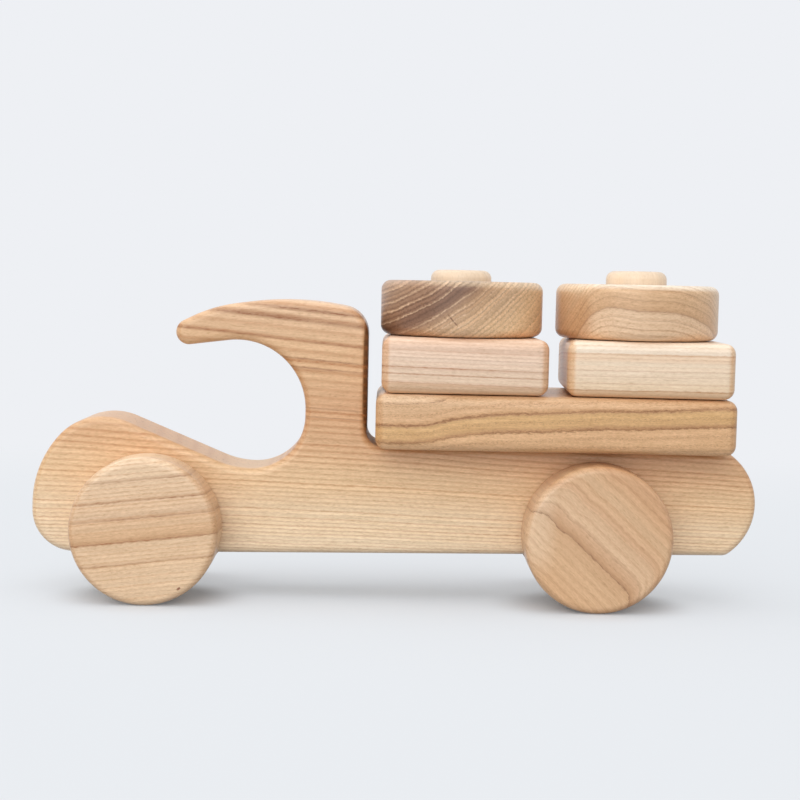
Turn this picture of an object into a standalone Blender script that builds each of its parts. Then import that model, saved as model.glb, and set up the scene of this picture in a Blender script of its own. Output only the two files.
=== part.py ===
"""A wooden toy truck that carries a stacking puzzle.

One thick board is the whole body, with a round cab window open to the front. Four wheels are glued on
two dowels that turn in it. Two glued pegs hold the load: a long block, two square blocks and two discs,
which all lift off upwards. X runs from the nose to the tail, Y across the truck, and Z up from the floor.
"""

import math

import bmesh
import bpy
from mathutils import Matrix, Vector

# The body board: lengths are from the nose, heights from the floor
BODY_LENGTH = 0.2960
BODY_THICKNESS = 0.0336
BODY_EDGE_ROUND = 0.0032
BED_HEIGHT = 0.0632
UNDERSIDE_AT_NOSE = 0.0172
UNDERSIDE_AT_TAIL = 0.0208
NOSE_BOTTOM_ROUND = 0.0170

# The tail: one round end, whose corners with the bed and the underside are eased
TAIL_ROUND = 0.0250
TAIL_SLOPE = math.radians(38)
TAIL_CORNER_ROUND = 0.0050

# The bonnet: up from the nose in two round turns, then a straight slope down to the window
NOSE_SHOULDER_HEIGHT = 0.0531
NOSE_TURN = math.radians(42)
NOSE_ROUND = 0.0470
BONNET_ROUND = 0.0270
BONNET_SLOPE = math.radians(22.4)
BONNET_LENGTH = 0.0820
BONNET_FOOT_ROUND = 0.0360

# The cab: a round window, a roof that ends in a hook over it, and an upright back
WINDOW_BACK = 0.1109
WINDOW_FOOT = 0.0532
WINDOW_FOOT_ROUND = 0.0225
WINDOW_TOP = 0.1093
WINDOW_TOP_ROUND = 0.0279
HOOK_TIP = 0.0580
HOOK_UNDERSIDE = 0.1024
HOOK_THICKNESS = 0.0090
HOOK_ROUND = 0.0052
HOOK_TO_BROW = 0.0147
BROW_HEIGHT = 0.1188
BROW_ROUND = 0.060
ROOF_PEAK = 0.1053
ROOF_PEAK_HEIGHT = 0.1237
ROOF_ROUND = 0.120
CAB_BACK = 0.1360
CAB_BACK_HEIGHT = 0.1182
CAB_BACK_ROUND = 0.0118
BED_CORNER_ROUND = 0.0060

# Wheels, and the dowels that they are glued on
WHEEL_RADIUS = 0.0297
WHEEL_THICKNESS = 0.0200
WHEEL_EDGE_ROUND = 0.0032
FRONT_AXLE_FROM_NOSE = 0.0486
WHEELBASE = 0.1807
WHEEL_SIDE_GAP = 0.0008
AXLE_RADIUS = 0.0050
AXLE_RUNNING_GAP = 0.0003
AXLE_SOCKET_DEPTH = 0.0130
AXLE_END_CHAMFER = 0.0008

# Pegs, glued into the bed
PEG_RADIUS = 0.0125
FRONT_PEG_HEIGHT = 0.1356
REAR_PEG_HEIGHT = 0.1366
PEG_TOP_ROUND = 0.0034
PEG_SOCKET_DEPTH = 0.0160
PEG_END_CHAMFER = 0.0010
PEG_SPACING = 0.0727
FRONT_PEG_FROM_CAB = 0.0378

# The load lies in three layers, each a little off centre on its pegs, as it was drilled and set down
LAYER_THICKNESS = 0.0223
BLOCK_DEPTH = 0.0664
BLOCK_EDGE_ROUND = 0.0042
LONG_BLOCK_LENGTH = 0.1440
LONG_BLOCK_OFFSET = 0.0015
SQUARE_LENGTH = 0.0664
FRONT_SQUARE_OFFSET = 0.0011
FRONT_SQUARE_TURN = math.radians(0)
REAR_SQUARE_OFFSET = 0.0038
REAR_SQUARE_TURN = math.radians(-3.2)
DISC_RADIUS = 0.0334
DISC_EDGE_ROUND = 0.0038
DISC_OFFSET = 0.0005
HOLE_CLEARANCE = 0.0013
HOLE_EDGE_ROUND = 0.0020

# Gaps between pieces that touch or are glued
SEAT_GAP = 0.0003
GLUE_GAP = 0.0003

# How finely round shapes are cut, and how near two points are one
ARC_STEP = math.radians(8)
SEGMENTS = 40
ROUND_STEPS = 3
SHARP_EDGE = math.radians(40)
CUT_MARGIN = 0.0040
SAME_PLACE = 1e-6

# Places that follow from the sizes
NOSE_X = -BODY_LENGTH / 2
CAB_BACK_X = NOSE_X + CAB_BACK
FRONT_AXLE_X = NOSE_X + FRONT_AXLE_FROM_NOSE
REAR_AXLE_X = FRONT_AXLE_X + WHEELBASE
AXLE_HEIGHT = WHEEL_RADIUS * math.cos(math.pi / SEGMENTS)
WHEEL_INNER_Y = BODY_THICKNESS / 2 + WHEEL_SIDE_GAP
FRONT_PEG_X = CAB_BACK_X + FRONT_PEG_FROM_CAB
REAR_PEG_X = FRONT_PEG_X + PEG_SPACING
PEG_FOOT = BED_HEIGHT - PEG_SOCKET_DEPTH + GLUE_GAP
HOLE_RADIUS = PEG_RADIUS + HOLE_CLEARANCE
LONG_BLOCK_SEAT = BED_HEIGHT + SEAT_GAP
SQUARE_SEAT = LONG_BLOCK_SEAT + LAYER_THICKNESS + SEAT_GAP
DISC_SEAT = SQUARE_SEAT + LAYER_THICKNESS + SEAT_GAP

ALONG_Y = Matrix.Rotation(-math.pi / 2, 4, "X")


def clear_scene():
    for old in list(bpy.data.objects):
        bpy.data.objects.remove(old)


def wood(name, colour, roughness):
    """A sanded and oiled wood."""
    material = bpy.data.materials.new(name)
    material.use_nodes = True
    shader = material.node_tree.nodes["Principled BSDF"]
    shader.inputs["Base Color"].default_value = (*colour, 1)
    shader.inputs["Roughness"].default_value = roughness
    shader.inputs["Metallic"].default_value = 0
    return material


def new_object(name, bm, material=None, origin=(0, 0, 0)):
    """An object made of the bmesh, which was modelled about its own origin."""
    bmesh.ops.recalc_face_normals(bm, faces=bm.faces)
    mesh = bpy.data.meshes.new(name)
    bm.to_mesh(mesh)
    bm.free()
    mesh.shade_smooth()
    mesh.set_sharp_from_angle(angle=SHARP_EDGE)
    if material:
        mesh.materials.append(material)
    piece = bpy.data.objects.new(name, mesh)
    piece.location = origin
    bpy.context.scene.collection.objects.link(piece)
    return piece


def cut(piece, cutter):
    """Take the cutter's shape out of the piece, and keep the cutter out of the model."""
    cutter.hide_render = True
    cutter.display_type = "WIRE"
    boolean = piece.modifiers.new("cut " + cutter.name, "BOOLEAN")
    boolean.operation = "DIFFERENCE"
    boolean.solver = "EXACT"
    boolean.object = cutter


def arc(centre, radius, start, end, steps=ROUND_STEPS):
    """Points on an arc about centre, from angle start to angle end."""
    points = []
    for step in range(steps + 1):
        angle = start + (end - start) * step / steps
        points.append((centre[0] + radius * math.cos(angle), centre[1] + radius * math.sin(angle)))
    return points


def turned(profile, closed=False):
    """A bmesh turned about Z from a profile of (radius, height) points; a closed one makes a ring."""
    bm = bmesh.new()
    # Turned half a facet on, so that a wheel stands on a flat and not on an edge
    half_facet = Matrix.Rotation(math.pi / SEGMENTS, 3, "Z")
    verts = [bm.verts.new(half_facet @ Vector((radius, 0, height))) for radius, height in profile]
    pairs = list(zip(verts, verts[1:]))
    if closed:
        pairs.append((verts[-1], verts[0]))
    edges = [bm.edges.new(pair) for pair in pairs]
    bmesh.ops.spin(bm, geom=verts + edges, cent=(0, 0, 0), axis=(0, 0, 1), angle=2 * math.pi,
                   steps=SEGMENTS, use_merge=True)
    bmesh.ops.remove_doubles(bm, verts=bm.verts, dist=SAME_PLACE)
    return bm


def rounded_outline(corners, inset=0.0):
    """The points of a closed outline from its corners (x, z, radius), each rounded as far as it fits.

    With an inset, each point lies that far inside its own place on the plain outline.
    """
    places = [Vector((x, z)) for x, z, _ in corners]
    count = len(corners)
    sides = [(places[(i + 1) % count] - places[i]) for i in range(count)]
    turns = [sides[i - 1].angle_signed(sides[i]) for i in range(count)]
    reach = [corners[i][2] * math.tan(abs(turns[i]) / 2) for i in range(count)]
    fit = [min(1, sides[i].length / (reach[i] + reach[(i + 1) % count])) for i in range(count)]
    points = []
    for i, place in enumerate(places):
        used = reach[i] * min(fit[i - 1], fit[i])
        radius = used / math.tan(abs(turns[i]) / 2)
        start = place - sides[i - 1].normalized() * used
        end = place + sides[i].normalized() * used
        inward = ((start + end) / 2 - place).normalized()
        centre = place + inward * math.hypot(radius, used)
        spoke = start - centre
        sweep = spoke.angle_signed(end - centre)
        shrunk = radius - math.copysign(inset, turns[i])
        steps = max(1, math.ceil(abs(sweep) / ARC_STEP))
        for step in range(steps + 1):
            angle = math.atan2(spoke.y, spoke.x) - sweep * step / steps
            points.append(centre + shrunk * Vector((math.cos(angle), math.sin(angle))))
    return points


def body_corners():
    """The corners of the body's outline with their radii, clockwise from under the nose."""
    # The bonnet's crown is where the line up from the nose's shoulder meets the slope down to the foot.
    rise = math.tan(math.pi / 2 - NOSE_TURN)
    fall = math.tan(BONNET_SLOPE)
    crown = (WINDOW_FOOT + fall * BONNET_LENGTH - NOSE_SHOULDER_HEIGHT) / (rise + fall)
    # The tail's round lies between two slopes, which meet the bed and the underside at its corners.
    tail_tip = BODY_LENGTH - TAIL_ROUND + TAIL_ROUND / math.sin(TAIL_SLOPE)
    tail_middle = (BED_HEIGHT + UNDERSIDE_AT_TAIL) / 2
    tail_corner = tail_tip - (BED_HEIGHT - tail_middle) / math.tan(TAIL_SLOPE)
    corners = [
        (0, UNDERSIDE_AT_NOSE, NOSE_BOTTOM_ROUND),
        (0, NOSE_SHOULDER_HEIGHT, NOSE_ROUND),
        (crown, NOSE_SHOULDER_HEIGHT + rise * crown, BONNET_ROUND),
        (BONNET_LENGTH, WINDOW_FOOT, BONNET_FOOT_ROUND),
        (WINDOW_BACK, WINDOW_FOOT, WINDOW_FOOT_ROUND),
        (WINDOW_BACK, WINDOW_TOP, WINDOW_TOP_ROUND),
        (HOOK_TIP, HOOK_UNDERSIDE, HOOK_ROUND),
        (HOOK_TIP, HOOK_UNDERSIDE + HOOK_THICKNESS, HOOK_ROUND),
        (HOOK_TIP + HOOK_TO_BROW, BROW_HEIGHT, BROW_ROUND),
        (ROOF_PEAK, ROOF_PEAK_HEIGHT, ROOF_ROUND),
        (CAB_BACK, CAB_BACK_HEIGHT, CAB_BACK_ROUND),
        (CAB_BACK, BED_HEIGHT, BED_CORNER_ROUND),
        (tail_corner, BED_HEIGHT, TAIL_CORNER_ROUND),
        (tail_tip, tail_middle, TAIL_ROUND),
        (tail_corner, UNDERSIDE_AT_TAIL, TAIL_CORNER_ROUND),
    ]
    return [(NOSE_X + x, z, radius) for x, z, radius in corners]


def plain_cutter(name, radius, length, place, along_y=False):
    """A plain cylinder to cut with, upright from its place or, along Y, centred on it."""
    bm = turned([(0, 0), (radius, 0), (radius, length), (0, length)])
    if along_y:
        bmesh.ops.translate(bm, verts=bm.verts, vec=(0, 0, -length / 2))
        bmesh.ops.transform(bm, matrix=ALONG_Y, verts=bm.verts)
    return new_object(name, bm, origin=place)


def make_body(material):
    """The board: its outline, drawn in smaller and smaller over the round at each face, then filled."""
    bm = bmesh.new()
    rim = arc((BODY_EDGE_ROUND, BODY_EDGE_ROUND - BODY_THICKNESS / 2), BODY_EDGE_ROUND,
              -math.pi / 2, -math.pi)
    rings = []
    for inset, y in rim + [(inset, -y) for inset, y in reversed(rim)]:
        rings.append([bm.verts.new((x, y, z)) for x, z in rounded_outline(body_corners(), inset)])
    for ring, following in zip(rings, rings[1:]):
        for i in range(len(ring)):
            bm.faces.new((ring[i - 1], ring[i], following[i], following[i - 1]))
    bm.faces.new(rings[0])
    bm.faces.new(rings[-1])
    # Two rounds that fill the side between them share one point
    bmesh.ops.remove_doubles(bm, verts=bm.verts, dist=SAME_PLACE)
    bmesh.ops.recalc_face_normals(bm, faces=bm.faces)
    body = new_object("chassis_body", bm, material)

    for name, axle_x in (("front_axle_bore", FRONT_AXLE_X), ("rear_axle_bore", REAR_AXLE_X)):
        cut(body, plain_cutter(name, AXLE_RADIUS + AXLE_RUNNING_GAP, BODY_THICKNESS + 2 * CUT_MARGIN,
                               (axle_x, 0, AXLE_HEIGHT), along_y=True))
    for name, peg_x in (("front_peg_socket", FRONT_PEG_X), ("rear_peg_socket", REAR_PEG_X)):
        cut(body, plain_cutter(name, PEG_RADIUS + GLUE_GAP, PEG_SOCKET_DEPTH + CUT_MARGIN,
                               (peg_x, 0, BED_HEIGHT - PEG_SOCKET_DEPTH)))


def make_axle(name, place, material):
    """A dowel right across the truck, into the blind bores of its two wheels."""
    half = WHEEL_INNER_Y + AXLE_SOCKET_DEPTH - GLUE_GAP
    bm = turned([
        (0, -half),
        (AXLE_RADIUS - AXLE_END_CHAMFER, -half),
        (AXLE_RADIUS, -half + AXLE_END_CHAMFER),
        (AXLE_RADIUS, half - AXLE_END_CHAMFER),
        (AXLE_RADIUS - AXLE_END_CHAMFER, half),
        (0, half),
    ])
    bmesh.ops.transform(bm, matrix=ALONG_Y, verts=bm.verts)
    new_object(name, bm, material, place)


def make_wheel(name, side, place, material):
    """A turned wheel with a plain outer face and a blind bore; side is -1 for the near one."""
    inner = WHEEL_INNER_Y
    outer = inner + WHEEL_THICKNESS
    bore = AXLE_RADIUS + GLUE_GAP
    rim = WHEEL_RADIUS - WHEEL_EDGE_ROUND
    profile = [(0, inner + AXLE_SOCKET_DEPTH), (bore, inner + AXLE_SOCKET_DEPTH), (bore, inner)]
    profile += arc((rim, inner + WHEEL_EDGE_ROUND), WHEEL_EDGE_ROUND, -math.pi / 2, 0)
    profile += arc((rim, outer - WHEEL_EDGE_ROUND), WHEEL_EDGE_ROUND, 0, math.pi / 2)
    profile += [(0, outer)]
    bm = turned([(radius, side * height) for radius, height in profile])
    bmesh.ops.transform(bm, matrix=ALONG_Y, verts=bm.verts)
    new_object(name, bm, material, place)


def make_peg(name, peg_x, top, material):
    """A peg from the bottom of its socket to its rounded top."""
    length = top - PEG_FOOT
    profile = [(0, 0), (PEG_RADIUS - PEG_END_CHAMFER, 0), (PEG_RADIUS, PEG_END_CHAMFER)]
    profile += arc((PEG_RADIUS - PEG_TOP_ROUND, length - PEG_TOP_ROUND), PEG_TOP_ROUND, 0, math.pi / 2)
    profile += [(0, length)]
    new_object(name, turned(profile), material, (peg_x, 0, PEG_FOOT))


def hole_cutter(name, place):
    """A peg hole through one layer, with its two rims rounded, to stand on the layer's seat."""
    wide = HOLE_RADIUS + HOLE_EDGE_ROUND
    profile = [(0, -CUT_MARGIN), (wide, -CUT_MARGIN)]
    profile += arc((wide, HOLE_EDGE_ROUND), HOLE_EDGE_ROUND, -math.pi / 2, -math.pi)
    profile += arc((wide, LAYER_THICKNESS - HOLE_EDGE_ROUND), HOLE_EDGE_ROUND, math.pi, math.pi / 2)
    profile += [(wide, LAYER_THICKNESS + CUT_MARGIN), (0, LAYER_THICKNESS + CUT_MARGIN)]
    return new_object(name, turned(profile), origin=place)


def make_block(name, length, offset, turn, origin_x, seat, peg_places, material):
    """A block rounded on all edges, off centre by offset from its origin, with a hole at each peg."""
    bm = bmesh.new()
    bmesh.ops.create_cube(bm, size=1)
    bmesh.ops.scale(bm, verts=bm.verts, vec=(length, BLOCK_DEPTH, LAYER_THICKNESS))
    bmesh.ops.translate(bm, verts=bm.verts, vec=(offset, 0, LAYER_THICKNESS / 2))
    bmesh.ops.bevel(bm, geom=bm.edges, offset=BLOCK_EDGE_ROUND, segments=ROUND_STEPS, profile=0.5,
                    affect="EDGES")
    block = new_object(name, bm, material, (origin_x, 0, seat))
    block.rotation_euler.z = turn
    for number, peg_x in enumerate(peg_places, 1):
        cut(block, hole_cutter(f"{name}_hole_{number}", (peg_x, 0, seat)))


def make_disc(name, peg_x, material):
    """A round block with a peg hole, its outer edges and the hole's rims rounded."""
    rim = DISC_RADIUS - DISC_EDGE_ROUND
    wide = HOLE_RADIUS + HOLE_EDGE_ROUND
    top = LAYER_THICKNESS
    profile = arc((rim, DISC_EDGE_ROUND), DISC_EDGE_ROUND, -math.pi / 2, 0)
    profile += arc((rim, top - DISC_EDGE_ROUND), DISC_EDGE_ROUND, 0, math.pi / 2)
    profile += arc((wide, top - HOLE_EDGE_ROUND), HOLE_EDGE_ROUND, math.pi / 2, math.pi)
    profile += arc((wide, HOLE_EDGE_ROUND), HOLE_EDGE_ROUND, math.pi, 3 * math.pi / 2)
    new_object(name, turned(profile, closed=True), material, (peg_x + DISC_OFFSET, 0, DISC_SEAT))


def make_truck():
    body_ash = wood("body ash", (0.66, 0.42, 0.25), 0.55)
    wheel_ash = wood("wheel ash", (0.68, 0.45, 0.27), 0.55)
    rear_wheel_ash = wood("rear wheel ash", (0.60, 0.38, 0.22), 0.55)
    pale_dowel = wood("pale dowel", (0.80, 0.62, 0.42), 0.50)
    golden_block = wood("golden block", (0.60, 0.38, 0.19), 0.55)
    pink_block = wood("pinkish block", (0.72, 0.50, 0.33), 0.55)
    cream_block = wood("cream block", (0.76, 0.56, 0.38), 0.55)
    brown_disc = wood("brown disc", (0.36, 0.20, 0.12), 0.55)
    tan_disc = wood("tan disc", (0.66, 0.44, 0.27), 0.55)

    make_body(body_ash)
    for end, axle_x, finish in (("front", FRONT_AXLE_X, wheel_ash), ("rear", REAR_AXLE_X, rear_wheel_ash)):
        make_axle(f"{end}_axle", (axle_x, 0, AXLE_HEIGHT), pale_dowel)
        make_wheel(f"{end}_wheel_near", -1, (axle_x, 0, AXLE_HEIGHT), finish)
        make_wheel(f"{end}_wheel_far", 1, (axle_x, 0, AXLE_HEIGHT), finish)

    make_peg("front_peg", FRONT_PEG_X, FRONT_PEG_HEIGHT, pale_dowel)
    make_peg("rear_peg", REAR_PEG_X, REAR_PEG_HEIGHT, pale_dowel)
    make_block("long_block", LONG_BLOCK_LENGTH, LONG_BLOCK_OFFSET, 0, (FRONT_PEG_X + REAR_PEG_X) / 2,
               LONG_BLOCK_SEAT, (FRONT_PEG_X, REAR_PEG_X), golden_block)
    make_block("front_square_block", SQUARE_LENGTH, FRONT_SQUARE_OFFSET, FRONT_SQUARE_TURN, FRONT_PEG_X,
               SQUARE_SEAT, (FRONT_PEG_X,), pink_block)
    make_block("rear_square_block", SQUARE_LENGTH, REAR_SQUARE_OFFSET, REAR_SQUARE_TURN, REAR_PEG_X,
               SQUARE_SEAT, (REAR_PEG_X,), cream_block)
    make_disc("front_disc", FRONT_PEG_X, brown_disc)
    make_disc("rear_disc", REAR_PEG_X, tan_disc)


clear_scene()
make_truck()
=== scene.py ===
"""The looks of a wooden toy truck with a stacking load.

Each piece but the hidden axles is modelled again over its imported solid, with fine rounds, bores and sockets.
Each has a solid wood material, whose growth rings, fibres and pores run right through it, so that sides, ends
and holes match.
X runs from the nose to the tail, Y across the truck, and Z up from the floor, in metres.
"""

import math

import bmesh
import bpy
from mathutils import Matrix, Vector


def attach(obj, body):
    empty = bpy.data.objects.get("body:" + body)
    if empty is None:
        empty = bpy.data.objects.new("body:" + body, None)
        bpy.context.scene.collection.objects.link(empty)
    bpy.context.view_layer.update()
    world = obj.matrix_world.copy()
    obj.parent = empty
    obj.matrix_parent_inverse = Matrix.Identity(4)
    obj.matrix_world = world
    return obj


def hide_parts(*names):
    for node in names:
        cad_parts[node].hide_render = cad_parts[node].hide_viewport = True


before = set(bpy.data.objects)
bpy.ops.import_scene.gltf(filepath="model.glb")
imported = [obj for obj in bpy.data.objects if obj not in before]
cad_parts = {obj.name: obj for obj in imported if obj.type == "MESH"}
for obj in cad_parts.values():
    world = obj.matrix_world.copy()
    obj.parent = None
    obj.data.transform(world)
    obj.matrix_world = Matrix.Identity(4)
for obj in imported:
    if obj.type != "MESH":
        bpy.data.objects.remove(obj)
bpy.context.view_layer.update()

# The board that is the truck's body: lengths from the nose, heights from the floor, and each corner's radius
NOSE_X = -0.1480
BODY_THICKNESS = 0.0336
BODY_EDGE_ROUND = 0.0032
BED_HEIGHT = 0.0632
BODY_CORNERS = (
    (0.0000, 0.01720, 0.0170),     # under the nose
    (0.0000, 0.05310, 0.0470),     # the nose's shoulder
    (0.02226, 0.07782, 0.0270),    # the bonnet's crown
    (0.0820, 0.05320, 0.0360),     # the bonnet's foot
    (0.1109, 0.05320, 0.0225),     # the window, low
    (0.1109, 0.10930, 0.0279),     # the window, high
    (0.0580, 0.10240, 0.0052),     # under the hook's tip
    (0.0580, 0.11140, 0.0052),     # over the hook's tip
    (0.0727, 0.11880, 0.0600),     # the brow
    (0.1053, 0.12370, 0.1200),     # the roof's peak
    (0.1360, 0.11820, 0.0118),     # the cab's back
    (0.1360, BED_HEIGHT, 0.0060),  # behind the cab
    (0.28447, BED_HEIGHT, 0.0050),  # the tail's corner with the bed
    (0.31161, 0.04200, 0.0250),    # the slopes to the tail's round end meet here
    (0.28447, 0.02080, 0.0050),    # the tail's corner with the underside
)

# Wheels and their dowels
AXLE_X = {"front": -0.0994, "rear": 0.0813}
AXLE_Z = 0.029608
WHEEL_RADIUS = 0.0296
WHEEL_THICKNESS = 0.0200
WHEEL_SIDE_GAP = 0.0008
WHEEL_INNER_Y = BODY_THICKNESS / 2 + WHEEL_SIDE_GAP
WHEEL_OUTER_Y = WHEEL_INNER_Y + WHEEL_THICKNESS
WHEEL_EDGE_ROUND = 0.0030
AXLE_BORE_RADIUS = 0.0053
AXLE_SOCKET_DEPTH = 0.0130

# Pegs, glued in sockets in the bed
PEG_X = {"front": 0.0258, "rear": 0.0985}
PEG_TOP = {"front": 0.1356, "rear": 0.1366}
PEG_RADIUS = 0.0125
PEG_TOP_ROUND = 0.0034
PEG_FOOT_EASE = 0.0010
PEG_SOCKET_DEPTH = 0.0160
GLUE_GAP = 0.0003
PEG_SOCKET_RADIUS = PEG_RADIUS + GLUE_GAP
PEG_FOOT = BED_HEIGHT - PEG_SOCKET_DEPTH + GLUE_GAP

# The load in its three layers: an offset is how far a block's middle lies behind the middle of its holes
LAYER = 0.0223
SEAT_GAP = 0.0003
LONG_SEAT = BED_HEIGHT + SEAT_GAP
SQUARE_SEAT = LONG_SEAT + LAYER + SEAT_GAP
DISC_SEAT = SQUARE_SEAT + LAYER + SEAT_GAP
BLOCK_DEPTH = 0.0664
BLOCK_EDGE_ROUND = 0.0042
LONG_LENGTH = 0.1440
LONG_OFFSET = 0.0015
SQUARE_LENGTH = 0.0664
SQUARE_OFFSET = {"front": 0.0011, "rear": 0.0038}
SQUARE_TURN = {"front": 0.0, "rear": math.radians(-3.2)}
DISC_RADIUS = 0.0334
DISC_EDGE_ROUND = 0.0038
DISC_OFFSET = 0.0005
HOLE_CLEARANCE = 0.0013
HOLE_RADIUS = PEG_RADIUS + HOLE_CLEARANCE
HOLE_ROUND = 0.0020

# How finely round shapes are cut
FINE_STEP = math.radians(3)
SMOOTH_BELOW = math.radians(35)
TURNED_SIDES = 128
PEG_SIDES = 96
AXLE_BORE_SIDES = 64
ROUND_SEGMENTS = 6
PEG_TOP_SEGMENTS = 8
HOLE_ROUND_SEGMENTS = 5

# How near two points are one, how near a rim's points lie to its circle, and how far a drill passes the wood
SAME_PLACE = 1e-5
ON_A_RIM = 1e-4
DRILL_PAST = 0.0100
AXLE_DRILL_REACH = 0.0300


def start_piece(name):
    """Name the new object, and open it in edit mode with nothing selected."""
    piece = bpy.context.active_object
    piece.name = name
    piece.data.name = name
    bpy.ops.object.mode_set(mode="EDIT")
    bpy.ops.mesh.select_all(action="DESELECT")
    return piece


def pick_edges(wanted):
    """Select the edges that are wanted, and nothing else."""
    bpy.ops.mesh.select_mode(type="EDGE")
    bpy.ops.mesh.select_all(action="DESELECT")
    drawn = bmesh.from_edit_mesh(bpy.context.edit_object.data)
    for edge in drawn.edges:
        if wanted(edge):
            edge.select = True
    drawn.select_flush_mode()
    bmesh.update_edit_mesh(bpy.context.edit_object.data)


def pick_rims(axis):
    """Select the rims of a board, wheel or disc: the edges that lie square to the given axis."""
    def level(edge):
        start, end = (getattr(vert.co, axis) for vert in edge.verts)
        return abs(start - end) < SAME_PLACE

    pick_edges(level)


def round_over(offset, segments=ROUND_SEGMENTS):
    bpy.ops.mesh.bevel(offset=offset, segments=segments, affect="EDGES")


def bore(piece, radius, low, high, sides=TURNED_SIDES):
    """Drill a round hole through a piece, or into it, from one end of its line to the other."""
    low, high = Vector(low), Vector(high)
    line = high - low
    bpy.ops.mesh.primitive_cylinder_add(
        vertices=sides, radius=radius, depth=line.length, location=(low + high) / 2,
        rotation=line.to_track_quat("Z", "Y").to_euler())
    drill = bpy.context.active_object
    drilling = piece.modifiers.new("drill", "BOOLEAN")
    drilling.operation = "DIFFERENCE"
    drilling.solver = "EXACT"
    drilling.object = drill
    bpy.context.view_layer.objects.active = piece
    bpy.ops.object.modifier_apply(modifier="drill")
    bpy.data.objects.remove(drill)


def finish_piece(piece, material, body, node):
    """Sand it smooth, give it its wood, and set it on the frame in its solid's place."""
    bpy.ops.object.select_all(action="DESELECT")
    piece.select_set(True)
    bpy.context.view_layer.objects.active = piece
    bpy.ops.object.transform_apply(location=True, rotation=True, scale=True)
    bpy.ops.object.shade_smooth_by_angle(angle=SMOOTH_BELOW)
    piece.modifiers.new("even shading", "WEIGHTED_NORMAL").keep_sharp = True
    bpy.ops.object.modifier_apply(modifier="even shading")
    piece.data.materials.clear()
    piece.data.materials.append(material)
    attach(piece, body)
    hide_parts(node)
    bpy.ops.object.select_all(action="DESELECT")


def make_board():
    """The body board: its outline traced with a pencil, filled, drawn to its thickness and rounded over."""
    corners = [(Vector((NOSE_X + x, z)), radius) for x, z, radius in BODY_CORNERS]
    count = len(corners)
    sides = [corners[(i + 1) % count][0] - corners[i][0] for i in range(count)]
    turns = [sides[i - 1].angle_signed(sides[i]) for i in range(count)]
    reach = [corners[i][1] * math.tan(abs(turns[i]) / 2) for i in range(count)]
    fit = [min(1, sides[i].length / (reach[i] + reach[(i + 1) % count])) for i in range(count)]
    used = [reach[i] * min(fit[i - 1], fit[i]) for i in range(count)]

    bpy.ops.mesh.primitive_plane_add(size=BODY_THICKNESS, location=(0, 0, 0))
    board = start_piece("body_board")
    bpy.ops.mesh.select_all(action="SELECT")
    bpy.ops.mesh.merge(type="CENTER")
    point = corners[0][0] - sides[-1].normalized() * used[0]
    bpy.ops.transform.translate(value=(point.x, -BODY_THICKNESS / 2, point.y))
    for i, (place, _) in enumerate(corners):
        start = place - sides[i - 1].normalized() * used[i]
        end = place + sides[i].normalized() * used[i]
        if (start - point).length > SAME_PLACE:
            straight = start - point
            bpy.ops.mesh.extrude_region_move(
                TRANSFORM_OT_translate={"value": (straight.x, 0, straight.y)})
        inward = ((start + end) / 2 - place).normalized()
        radius = used[i] / math.tan(abs(turns[i]) / 2)
        centre = place + inward * math.hypot(radius, used[i])
        bpy.ops.mesh.spin(steps=math.ceil(abs(turns[i]) / FINE_STEP), angle=-turns[i],
                          center=(centre.x, -BODY_THICKNESS / 2, centre.y), axis=(0, 1, 0))
        point = end
    bpy.ops.mesh.select_all(action="SELECT")
    bpy.ops.mesh.remove_doubles(threshold=SAME_PLACE)
    bpy.ops.mesh.edge_face_add()
    bpy.ops.mesh.extrude_region_move(TRANSFORM_OT_translate={"value": (0, BODY_THICKNESS, 0)})
    pick_rims("y")
    round_over(BODY_EDGE_ROUND)
    bpy.ops.mesh.select_all(action="SELECT")
    bpy.ops.mesh.normals_make_consistent(inside=False)
    bpy.ops.object.mode_set(mode="OBJECT")

    for x in AXLE_X.values():
        bore(board, AXLE_BORE_RADIUS, (x, -AXLE_DRILL_REACH, AXLE_Z), (x, AXLE_DRILL_REACH, AXLE_Z),
             sides=AXLE_BORE_SIDES)
    for x in PEG_X.values():
        bore(board, PEG_SOCKET_RADIUS, (x, 0, BED_HEIGHT - PEG_SOCKET_DEPTH), (x, 0, BED_HEIGHT + DRILL_PAST))
    return board


def make_wheel(end, side):
    """A turned and sanded wheel with a blind bore for its dowel; side is -1 for the near one."""
    centre_y = side * (WHEEL_INNER_Y + WHEEL_THICKNESS / 2)
    bpy.ops.mesh.primitive_cylinder_add(
        vertices=TURNED_SIDES, radius=WHEEL_RADIUS, depth=WHEEL_THICKNESS,
        location=(AXLE_X[end], centre_y, AXLE_Z), rotation=(-side * math.pi / 2, 0, 0))
    bpy.ops.object.transform_apply(location=True, rotation=True, scale=True)
    wheel = start_piece(f"{end}_wheel_{'near' if side < 0 else 'far'}_wood")
    pick_rims("y")
    round_over(WHEEL_EDGE_ROUND)
    bpy.ops.object.mode_set(mode="OBJECT")
    inner = side * WHEEL_INNER_Y
    bore(wheel, AXLE_BORE_RADIUS, (AXLE_X[end], inner - side * DRILL_PAST, AXLE_Z),
         (AXLE_X[end], inner + side * AXLE_SOCKET_DEPTH, AXLE_Z), sides=AXLE_BORE_SIDES)
    return wheel


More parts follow.
